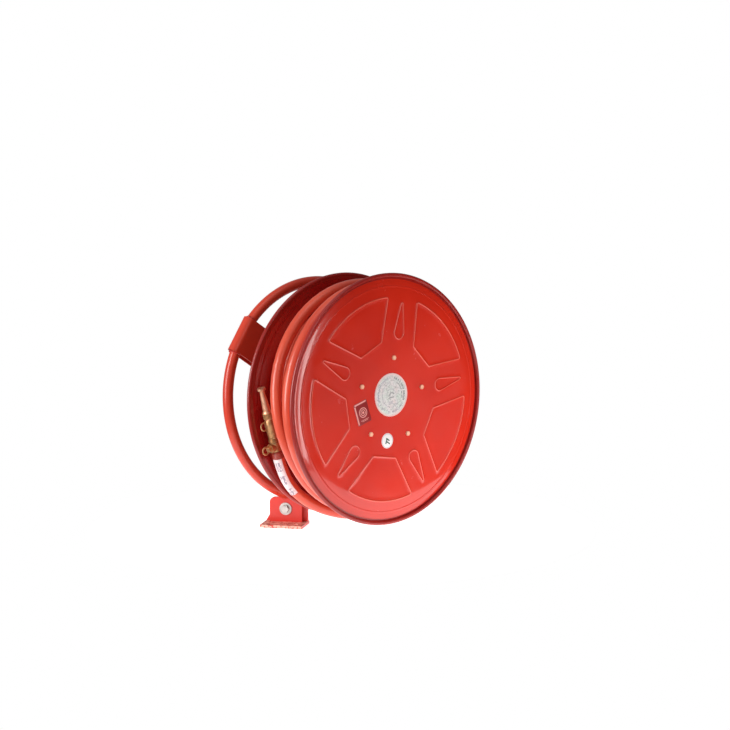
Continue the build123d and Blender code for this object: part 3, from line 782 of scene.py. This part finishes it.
def make_sleeve():
    """Printed film round the outer half of the hose: a few wrinkles and blocks of plain print."""
    line = line_of([Vector(p) for p in HOSE_END])
    angles = spread(SLEEVE_FROM, SLEEVE_TO, SLEEVE_ACROSS)
    rings = []
    for far, centre, side, up in frames_along(line, SLEEVE_START, SLEEVE_END, SLEEVE_STEP):
        end = min(far - SLEEVE_START, SLEEVE_END - far)
        tuck = TUCK_DEPTH * max(0.0, 1 - end / TUCK_LENGTH)
        film = []
        for angle in angles:
            wrinkle = WRINKLE * noise.noise(Vector((far * 130, math.cos(angle) * 2, math.sin(angle) * 2)))
            film.append(polar(SLEEVE_R - tuck + wrinkle, angle))
        film += [polar(HOSE_R, angle) for angle in reversed(angles)]
        rings.append([tuple(centre + side * x + up * y) for x, y in film])
    points, faces = bridged(rings)
    mesh = mesh_from("hose_sleeve", points, faces)
    piece = add_piece("hose_sleeve", mesh, SLEEVE, "reel", ["hose_wrap"])
    piece.data.materials.append(LILAC)
    for polygon in mesh.polygons:
        row, column = divmod(polygon.index, 2 * SLEEVE_ACROSS)
        block = noise.noise(Vector((row // 3 * 0.9, column // 2 * 1.7, 4.2)))
        inside = column in PRINT_ACROSS and row % PRINT_REPEAT in PRINT_ALONG
        polygon.material_index = 1 if inside and column % PRINT_GAP and block > -0.22 else 0


# ---------------------------------------------------------------- nozzle
def nozzle_matrix():
    """The nozzle's own frame: z along its axis away from the hose, x away from the reel's axis."""
    ahead = (Vector(HOSE_END[0]) - Vector(HOSE_END[1])).normalized()
    outwards = Vector((-ahead.z, 0, ahead.x))
    turned = Matrix((outwards, ahead.cross(outwards), ahead)).transposed().to_4x4()
    return Matrix.Translation(HOSE_END[0]) @ turned


NOZZLE = nozzle_matrix()
# heights along the nozzle and radii, in millimetres
FERRULE_TOP, SEAL_TOP, COLLAR_TOP, BARREL_TOP = 7.5, 31.0, 39.0, 87.0
FERRULE_SKIRT = 11.0
KNURL_TOP = BARREL_TOP + 17.0
KNURL_R = 12.2
KNURL_BORE_R = 10.4
FLUTES = 26
FLUTE_DEPTH = 0.55


def brass_turned(name, profile, replaced=(), material=BRASS, ease=0.5):
    mesh = lathe(name, rounded(profile, ease), NOZZLE, 72)
    return add_piece(name, mesh, material, "reel", replaced)


def ridges(base, height, start, stop, count):
    """Corners of evenly spaced square ridges on a turned surface, from start to stop."""
    corners = []
    pitch = (stop - start) / count
    for i in range(count):
        low = start + i * pitch
        corners += [(base, low), (base + height, low + 0.12 * pitch)]
        corners += [(base + height, low + 0.62 * pitch), (base, low + 0.74 * pitch)]
    return corners


def make_knurl():
    """Fluted grip ring where the jet screws into the barrel."""
    around = FLUTES * 6
    low, high = BARREL_TOP + 1.6, KNURL_TOP
    # height, and how far the edge is eased inwards there
    edges = [(low, 0.9), (low + 0.8, 0.1), (low + 1.6, 0.0)]
    edges += [(high - 1.6, 0.0), (high - 0.8, 0.2), (high, 1.0)]
    rings = []
    for height, inset in edges:
        ring = []
        for k in range(around):
            flute = FLUTE_DEPTH * max(0.0, math.cos(FLUTES * math.tau * k / around)) ** 0.6
            radius = (KNURL_R - inset - flute) / 1000
            ring.append((*polar(radius, math.tau * k / around), height / 1000))
        rings.append(ring)
    for height in (high - 0.2, low + 0.2):
        rings.append(circle(KNURL_BORE_R / 1000, height / 1000, around))
    mesh = mesh_from("jet_grip_ring", *bridged(rings, closed_along=True), NOZZLE, 60)
    add_piece("jet_grip_ring", mesh, BRASS, "reel")


def make_nozzle():
    """Ferrule, collar and barrel from (radius, height) corners, with the CAD's cock, eye and jet."""
    skirt = ridges(13.7, 0.5, -FERRULE_SKIRT, FERRULE_TOP - 4, 4)
    ferrule = [(13.45, -FERRULE_SKIRT), *skirt, (11, FERRULE_TOP), (6, FERRULE_TOP), (6, 0), (13.45, 0)]
    pieces = [brass_turned("hose_ferrule", ferrule, ["nozzle_ferrule"], CRIMP_RED)]
    collar = [(5, SEAL_TOP), *ridges(12.6, 1.3, SEAL_TOP, COLLAR_TOP, 3), (12.6, COLLAR_TOP), (5, COLLAR_TOP)]
    pieces.append(brass_turned("grooved_collar", collar, ["nozzle_collar"], ease=0.3))
    top = BARREL_TOP
    barrel = [
        (7, COLLAR_TOP), (11.4, COLLAR_TOP), (12.2, COLLAR_TOP + 1.2), (12.5, COLLAR_TOP + 4),
        (12.5, COLLAR_TOP + 6), (12.0, COLLAR_TOP + 6.6), (12.0, COLLAR_TOP + 7.6), (12.6, COLLAR_TOP + 8.2),
        (13.7, top - 11), (13.7, top - 9), (12.9, top - 7), (12.9, top - 5.6), (12.2, top - 5),
        (12.2, top - 3.6), (10.6, top - 1.8), (10.4, top), (4, top), (4, top - 15), (7, top - 20),
    ]
    pieces.append(brass_turned("jet_barrel", barrel, ["nozzle_barrel"], ease=0.8))
    make_knurl()
    for node in ("cock_plug", "cock_handle", "cock_nut", "nozzle_eye", "nozzle_tail"):
        refined(node, BRASS, 0.0004)
    pieces.append(refined("cock_body", BRASS, 0.0008))
    refined("cock_seal", BLACK, 0.0002)
    tip = nodes["nozzle_tip"]
    tip.data.materials.clear()
    tip.data.materials.append(TIP_BRASS)
    return pieces + [tip]


make_sleeve()
make_hose(make_nozzle())


# ---------------------------------------------------------------- stickers
TO_FACE = Matrix.Translation((0, FACE_FRONT, 0)) @ Matrix.Rotation(math.radians(90), 4, "X")
PRINT_SINK = 0.00002  # printed marks start this far inside their plate
BLOCK_T = 0.00006
RING_T = 0.00007


def raised_print(name, points, faces, material, turn):
    mesh = mesh_from(name, points, faces, TO_FACE @ turn)
    add_piece(name, mesh, material, "reel")


def print_blocks(name, blocks, lift, material, turn=Matrix()):
    """Thin raised print from blocks (x, y, width, height, angle) on the front disc's face, in metres."""
    points, faces = [], []
    for x, y, width, height, angle in blocks:
        c, s = math.cos(angle), math.sin(angle)
        start = len(points)
        for level in (lift, lift + BLOCK_T):
            for sx, sy in ((-1, -1), (1, -1), (1, 1), (-1, 1)):
                dx, dy = sx * width / 2, sy * height / 2
                points.append((x + dx * c - dy * s, y + dx * s + dy * c, level))
        faces += [tuple(start + i for i in (4, 5, 6, 7)), tuple(start + i for i in (3, 2, 1, 0))]
        faces += [(start + i, start + (i + 1) % 4, start + 4 + (i + 1) % 4, start + 4 + i) for i in range(4)]
    raised_print(name, points, faces, material, turn)


def ring_print(name, at, inner, outer, lift, material, start=0.0, stop=360.0, turn=Matrix()):
    """Thin raised print along an arc of a ring, from start to stop in degrees."""
    steps = max(8, round((stop - start) / 4))
    whole = stop - start >= 360
    rings = []
    for angle in spread(math.radians(start), math.radians(stop), steps + 1)[: steps if whole else None]:
        ring = []
        top = lift + RING_T
        for radius, level in ((inner, lift), (inner, top), (outer, top), (outer, lift)):
            x, y = polar(radius, angle)
            ring.append((at[0] + x, at[1] + y, level))
        rings.append(ring)
    points, faces = bridged(rings, closed_along=whole)
    if not whole:
        faces += [(0, 1, 2, 3), tuple(len(points) - i for i in (1, 2, 3, 4))]
    raised_print(name, points, faces, material, turn)


def arc_marks(centre, radius, start, stop, height, pitch, seed):
    """Blocks of uneven width set round an arc, like a row of small print."""
    blocks = []
    angle = start
    while angle < stop:
        size = 0.55 + 0.45 * noise.noise(Vector((angle * 7, seed, 0.5)))
        turn = math.radians(angle)
        x, y = polar(radius, turn)
        if noise.noise(Vector((angle * 1.3, seed, 3.5))) > -0.42:
            blocks.append((centre[0] + x, centre[1] + y, height, pitch * size, turn))
        angle += math.degrees(pitch / radius)
    return blocks


# plain marks in the middle of the centre label: x, y, width, height, angle
LABEL_BLOTS = [
    (-0.004, 0.002, 0.012, 0.0035, 0.9),
    (0.005, 0.004, 0.010, 0.0030, -0.5),
    (0.001, -0.006, 0.014, 0.0028, 0.1),
    (-0.007, -0.008, 0.006, 0.0022, 0.6),
]


MARK_RING_R = 0.0405
SMALL_MARK_RING_R = 0.0335
ROW_PITCH = 0.0022


def make_centre_label():
    """Foil disc with a pale rim, a groove round its middle and rings of plain printed marks."""
    t = LABEL_T * 1000
    r = LABEL_R * 1000
    profile = [
        (0, 0), (r, 0), (r, t * 0.6), (r - 0.5, t), (r - 3.6, t), (r - 3.9, t * 0.82),
        (r - 4.4, t * 0.82), (r - 4.7, t * 0.9), (24.0, t * 0.9), (23.7, t * 0.84),
        (23.3, t * 0.84), (23.0, t * 0.9), (0, t * 0.9),
    ]
    centre = (0, LABEL_RISE)
    place = TO_FACE @ Matrix.Translation((0, LABEL_RISE, 0))
    mesh = lathe("centre_plate", profile, place, 128, 60)
    add_piece("centre_plate", mesh, SILVER, "reel", ["centre_label"])
    lift = LABEL_T * 0.9 - PRINT_SINK
    rim = (LABEL_R - 0.0037, LABEL_R - 0.0004)
    ring_print("label_rim_ring", centre, *rim, LABEL_T - PRINT_SINK, RIM_PINK)
    marks = arc_marks(centre, MARK_RING_R, -20, 78, 0.0050, 0.0034, 1.0)
    marks += arc_marks(centre, SMALL_MARK_RING_R, -14, 62, 0.0028, 0.0028, 2.0)
    print_blocks("label_marks_dark", marks, lift, INK)
    pale = arc_marks(centre, MARK_RING_R, 96, 262, 0.0040, 0.0036, 3.0)
    pale += arc_marks(centre, MARK_RING_R, 276, 332, 0.0040, 0.0036, 4.0)
    print_blocks("label_marks_pale", pale, lift, LILAC)
    ring_print("label_inner_arc", centre, 0.0285, 0.0293, lift, LILAC, 100, 320)
    ring_print("label_middle", centre, 0.0138, 0.0146, lift, LILAC, 20, 200)
    blots = [(centre[0] + x, centre[1] + y, w, h, a) for x, y, w, h, a in LABEL_BLOTS]
    print_blocks("label_middle_marks", blots, lift, LABEL_GREY)
    rows = []
    for i, width in enumerate((0.017, 0.012, 0.015)):
        y = centre[1] - 0.0185 + i * ROW_PITCH - ROW_PITCH
        rows.append((centre[0] - 0.001, y, width, 0.0009, 0.0))
    print_blocks("label_rows", rows, lift, LILAC)


def sticker_plate(name, outline, thickness, material, replaced, place):
    """Thin plate with softened edges from a closed outline in metres."""
    inner = [tuple(Vector(p) * 0.985) for p in outline]
    rings = [
        [(*p, 0.0) for p in outline],
        [(*p, thickness * 0.6) for p in outline],
        [(*p, thickness) for p in inner],
    ]
    points, faces = bridged(rings)
    count = len(outline)
    faces += [tuple(range(count)), tuple(2 * count + i for i in range(count))]
    mesh = mesh_from(name, points, faces, place)
    return add_piece(name, mesh, material, "reel", replaced)


def make_round_sticker():
    x, y = ROUND_STICKER_AT
    outline = [polar(ROUND_STICKER_R, math.tau * k / 96) for k in range(96)]
    place = TO_FACE @ Matrix.Translation((x, y, 0))
    sticker_plate("round_plate", outline, STICKER_T, WHITE, ["round_sticker"], place)
    lift = STICKER_T - PRINT_SINK
    ring_print("round_plate_rim", (x, y), 0.0158, 0.0166, lift, LILAC)
    marks = [
        (x + 0.0015, y + 0.003, 0.0125, 0.0032, math.radians(-32)),
        (x - 0.0030, y - 0.001, 0.0034, 0.0130, math.radians(-18)),
        (x + 0.0030, y - 0.005, 0.0120, 0.0030, math.radians(-32)),
    ]
    print_blocks("round_plate_mark", marks, lift, GREEN_INK)


CORNER_R = 0.0025
BORDER_W = 0.0036
SQUARE_RINGS = ((0.0102, 0.0122), (0.0060, 0.0076), (0.0005, 0.0030))


def make_square_sticker():
    """Dark plate with a pale border along two sides and plain rings in its middle."""
    width, height = SQUARE_STICKER
    outline = []
    for sx, sy, start in ((1, 1, 0), (-1, 1, 90), (-1, -1, 180), (1, -1, 270)):
        for a in spread(start, start + 90, 6):
            x, y = polar(CORNER_R, math.radians(a))
            outline.append((sx * (width / 2 - CORNER_R) + x, sy * (height / 2 - CORNER_R) + y))
    turn = Matrix.Translation((*SQUARE_STICKER_AT, 0)) @ Matrix.Rotation(SQUARE_STICKER_TURN, 4, "Z")
    sticker_plate("square_plate", outline, STICKER_T, STICKER_RED, ["square_sticker"], TO_FACE @ turn)
    lift = STICKER_T - PRINT_SINK
    border = [
        (0.0, height / 2 - 0.0030, width - 0.006, BORDER_W, 0.0),
        (-width / 2 + 0.0030, -0.0015, BORDER_W, height - 0.009, 0.0),
    ]
    print_blocks("square_plate_border", border, lift, STICKER_PINK, turn)
    for i, (inner, outer) in enumerate(SQUARE_RINGS):
        ring_print(f"square_plate_ring_{i}", (0.002, 0.000), inner, outer, lift, STICKER_PINK, turn=turn)
    rows = [(0.002, -0.0175 - 0.0026 * i, 0.024 - 0.005 * i, 0.0011, 0.0) for i in range(2)]
    print_blocks("square_plate_rows", rows, lift, STICKER_PINK, turn)


make_centre_label()
make_round_sticker()
make_square_sticker()


# ---------------------------------------------------------------- frame
BEAD_SIDES = 10
RIPPLE = 0.12
RIPPLE_PITCH = 0.0036


def weld(name, line, radius, closed=False):
    """Weld bead along a line of points, with a ripple every RIPPLE_PITCH."""
    rings = []
    walked = 0.0
    for i, point in enumerate(line):
        before = line[i - 1] if closed or i else point
        after = line[(i + 1) % len(line)] if closed or i + 1 < len(line) else point
        ahead = (after - before).normalized()
        walked += (point - line[i - 1]).length if i else 0.0
        helper = Vector((0, 0, 1)) if abs(ahead.z) < 0.8 else Vector((1, 0, 0))
        side = ahead.cross(helper).normalized()
        up = side.cross(ahead)
        size = radius * (1 + RIPPLE * math.sin(math.tau * walked / RIPPLE_PITCH))
        size *= 1 + 1.5 * RIPPLE * noise.noise(point * 180)
        ring = []
        for k in range(BEAD_SIDES):
            x, y = polar(size, math.tau * k / BEAD_SIDES)
            ring.append(tuple(point + side * x + up * y))
        rings.append(ring)
    points, faces = bridged(rings, closed_along=closed)
    if not closed:
        last = len(points) - 1
        faces += [tuple(range(BEAD_SIDES)), tuple(last - i for i in range(BEAD_SIDES))]
    mesh = mesh_from(name, points, faces, angle=60)
    add_piece(name, mesh, WELD_RED, "frame")


def circle_line(centre, u, v, radius, start, stop, count):
    """Points on an arc in the plane of u and v."""
    turns = spread(start, stop, count)
    return [centre + u * (radius * math.cos(a)) + v * (radius * math.sin(a)) for a in turns]


HOOP_STEPS = 320
HOOP_SIDES = 40
STRAP_BEAD_SWEEP = 1.9  # how far round the tube a strap's bead reaches each way, in radians


def make_hoop():
    """The bent tube, very slightly uneven."""
    rings = []
    for i in range(HOOP_STEPS):
        angle = math.tau * i / HOOP_STEPS
        ring = []
        for k in range(HOOP_SIDES):
            x, y = polar(HOOP_TUBE_R, math.tau * k / HOOP_SIDES)
            radius = HOOP_R + x + 0.00015 * noise.noise(Vector((*polar(3, angle), 0.3)))
            ring.append((radius * math.cos(angle), HOOP_Y + y, radius * math.sin(angle)))
        rings.append(ring)
    mesh = mesh_from("hoop_tube", *bridged(rings, closed_along=True))
    add_piece("hoop_tube", mesh, HOOP_RED, "frame", ["frame_hoop"])


def make_strap_welds():
    """Beads across the hoop's tube at each edge of the strap, on the outer side."""
    forward = Vector((0, 1, 0))
    for end, angle in (("left", STRAP_ANGLE), ("right", STRAP_ANGLE + math.pi)):
        for edge, sign in (("upper", -1), ("lower", 1)):
            lean = angle + sign * (STRAP_WIDTH / 2 + 0.0008) / HOOP_R
            out = Vector((math.cos(lean), 0, math.sin(lean)))
            centre = out * HOOP_R + Vector((0, HOOP_Y, 0))
            sweep = (-STRAP_BEAD_SWEEP, STRAP_BEAD_SWEEP)
            line = circle_line(centre, out, forward, HOOP_TUBE_R + 0.0006, *sweep, 60)
            weld(f"strap_weld_{end}_{edge}", line, 0.0020)


def make_frame():
    make_hoop()
    make_strap_welds()
    refined("frame_arm", HOOP_RED, 0.0008)
    refined("wall_plate", RED, 0.0008)
    refined("standoff_post", RED, 0.0008)
    x_axis, z_axis = Vector((1, 0, 0)), Vector((0, 0, 1))
    for name, y in (("plate", -PLATE_T - 0.0008), ("arm", HOOP_Y + HOOP_TUBE_R + 0.0038)):
        line = circle_line(Vector((0, y, 0)), x_axis, z_axis, POST_R + 0.0008, 0, math.tau, 181)[:-1]
        weld(f"post_weld_{name}", line, 0.0024, closed=True)
    refined("inlet_body", BRASS, 0.0010)
    refined("foot_lug", FOOT_RED, 0.0007)
    bracket = refined("foot_bracket", FOOT_RED, 0.0007)
    # the base plate's faces take the worn paint, whose pale patches are partly painted highlight
    bracket.data.materials.append(WORN_AND_HIGHLIT_BASE)
    for polygon in bracket.data.polygons:
        if polygon.center.z < CAD_BOX[0][2] + FOOT_BASE_T + 0.0004:
            polygon.material_index = 1
    for node in ("inlet_bolts", "inlet_nuts", "foot_bolt", "foot_washers", "foot_nut", "spindle"):
        refined(node, ZINC, 0.0005)
    refined("retaining_clip", ZINC, 0.0003)
    refined("thrust_washer", BRASS, 0.0003)
    refined("spindle_seals", BLACK, 0.0001)


def make_drum():
    for node in ("front_bolts", "rear_bolts"):
        refined(node, PLATED, 0.0006)
    for node in ("front_nuts", "rear_nuts", "hub_bolts", "hub_nuts", "inner_clip"):
        refined(node, ZINC, 0.0005)
    refined("drum_core", RED, 0.0003)
    for node in ("hub_barrel", "outlet_elbow", "hose_tail"):
        refined(node, BRASS, 0.0006)


make_frame()
make_drum()


# ---------------------------------------------------------------- camera
VIEW_AZIMUTH = math.radians(41.82)
VIEW_ELEVATION = math.radians(7.03)
VIEW_DISTANCE = 3.612


def make_camera():
    """Looks at the middle of the front disc from the front left and a little above."""
    back = Vector((
        -math.sin(VIEW_AZIMUTH) * math.cos(VIEW_ELEVATION),
        -math.cos(VIEW_AZIMUTH) * math.cos(VIEW_ELEVATION),
        math.sin(VIEW_ELEVATION),
    ))
    camera = bpy.data.objects.new("camera", bpy.data.cameras.new("camera"))
    camera.location = Vector((0, FRONT_Y, 0)) + back * VIEW_DISTANCE
    camera.rotation_euler = back.to_track_quat("Z", "Y").to_euler()
    camera.data.lens = 75.15
    camera.data.shift_x = -0.0338
    camera.data.shift_y = 0.0475
    scene.collection.objects.link(camera)
    scene.camera = camera


# ---------------------------------------------------------------- studio
FLOOR_R = 0.62
FLOOR_GLOW = 0.95
DIM_SIDE = (0.66, -0.74, -0.12)
WORLD_LEVEL = 0.28
DIM_LEVEL = 0.03


def make_floor():
    """Round pale floor under the foot."""
    depth = CAD_BOX[0][2] - 0.0005
    rings = [circle(radius, 0.0, 96) for radius in (FLOOR_R, FLOOR_R * 0.5, 0.002)]
    mesh = mesh_from("floor", *bridged(rings))
    mesh.transform(Matrix.Translation((0, FRONT_Y / 2, depth)))
    floor = bpy.data.objects.new("floor", mesh)
    scene.collection.objects.link(floor)
    material, tree, shader = new_material("floor_paper")
    tone = ramp(tree, noise_value(tree, 3, 2), [(0.3, (0.86, 0.86, 0.86, 1)), (0.7, (0.9, 0.9, 0.9, 1))])
    tree.links.new(tone, shader.inputs["Base Color"])
    shader.inputs["Roughness"].default_value = 0.8
    shader.inputs["Specular IOR Level"].default_value = 0.1
    shader.inputs["Emission Color"].default_value = (1, 1, 1, 1)
    shader.inputs["Emission Strength"].default_value = FLOOR_GLOW
    floor.data.materials.append(material)


def area_light(name, location, target, size, power, glossy=True):
    lamp = bpy.data.lights.new(name, "AREA")
    lamp.shape = "RECTANGLE"
    lamp.size, lamp.size_y = size
    lamp.energy = power
    light = bpy.data.objects.new(name, lamp)
    light.location = location
    light.rotation_euler = (Vector(location) - Vector(target)).to_track_quat("Z", "Y").to_euler()
    light.visible_glossy = glossy
    light.visible_camera = False
    scene.collection.objects.link(light)


def make_world():
    """White to the camera; for light and reflections a grey that darkens towards the right front."""
    world = bpy.data.worlds.new("studio")
    world.use_nodes = True
    tree = world.node_tree
    place = tree.nodes.new("ShaderNodeTexCoord")
    toward = tree.nodes.new("ShaderNodeVectorMath")
    toward.operation = "DOT_PRODUCT"
    toward.inputs[1].default_value = DIM_SIDE
    tree.links.new(place.outputs["Generated"], toward.inputs[0])
    level = mapped(tree, toward.outputs["Value"], WORLD_LEVEL, DIM_LEVEL, 0.2, 0.86)
    path = tree.nodes.new("ShaderNodeLightPath")
    seen = tree.nodes.new("ShaderNodeMix")
    seen.inputs[3].default_value = 1.0
    tree.links.new(path.outputs["Is Camera Ray"], seen.inputs[0])
    tree.links.new(level, seen.inputs[2])
    tree.links.new(seen.outputs[0], tree.nodes["Background"].inputs["Strength"])
    tree.nodes["Background"].inputs["Color"].default_value = (1, 1, 1, 1)
    scene.world = world


def make_lights():
    middle = (0, -0.35, 0)
    area_light("left_light", (-2.6, 0.1, 0.6), (0, -0.2, 0), (0.8, 1.8), 56)
    area_light("card_light", (0.45, -3.2, 0.1), middle, (0.32, 2.6), 18)
    low_right = (0.12, -0.35, -0.18)
    area_light("right_light", (0.62, -1.05, -0.26), low_right, (0.6, 0.6), 5.4, glossy=False)
    area_light("front_box", (-1.0, -2.8, 1.3), middle, (1.5, 0.9), 4)
    area_light("top_light", (-0.4, -0.9, 2.2), (0, -0.3, 0), (1.6, 1.0), 5)


make_camera()
make_floor()
make_world()
make_lights()
scene.view_settings.view_transform = "Standard"

bpy.context.view_layer.update()
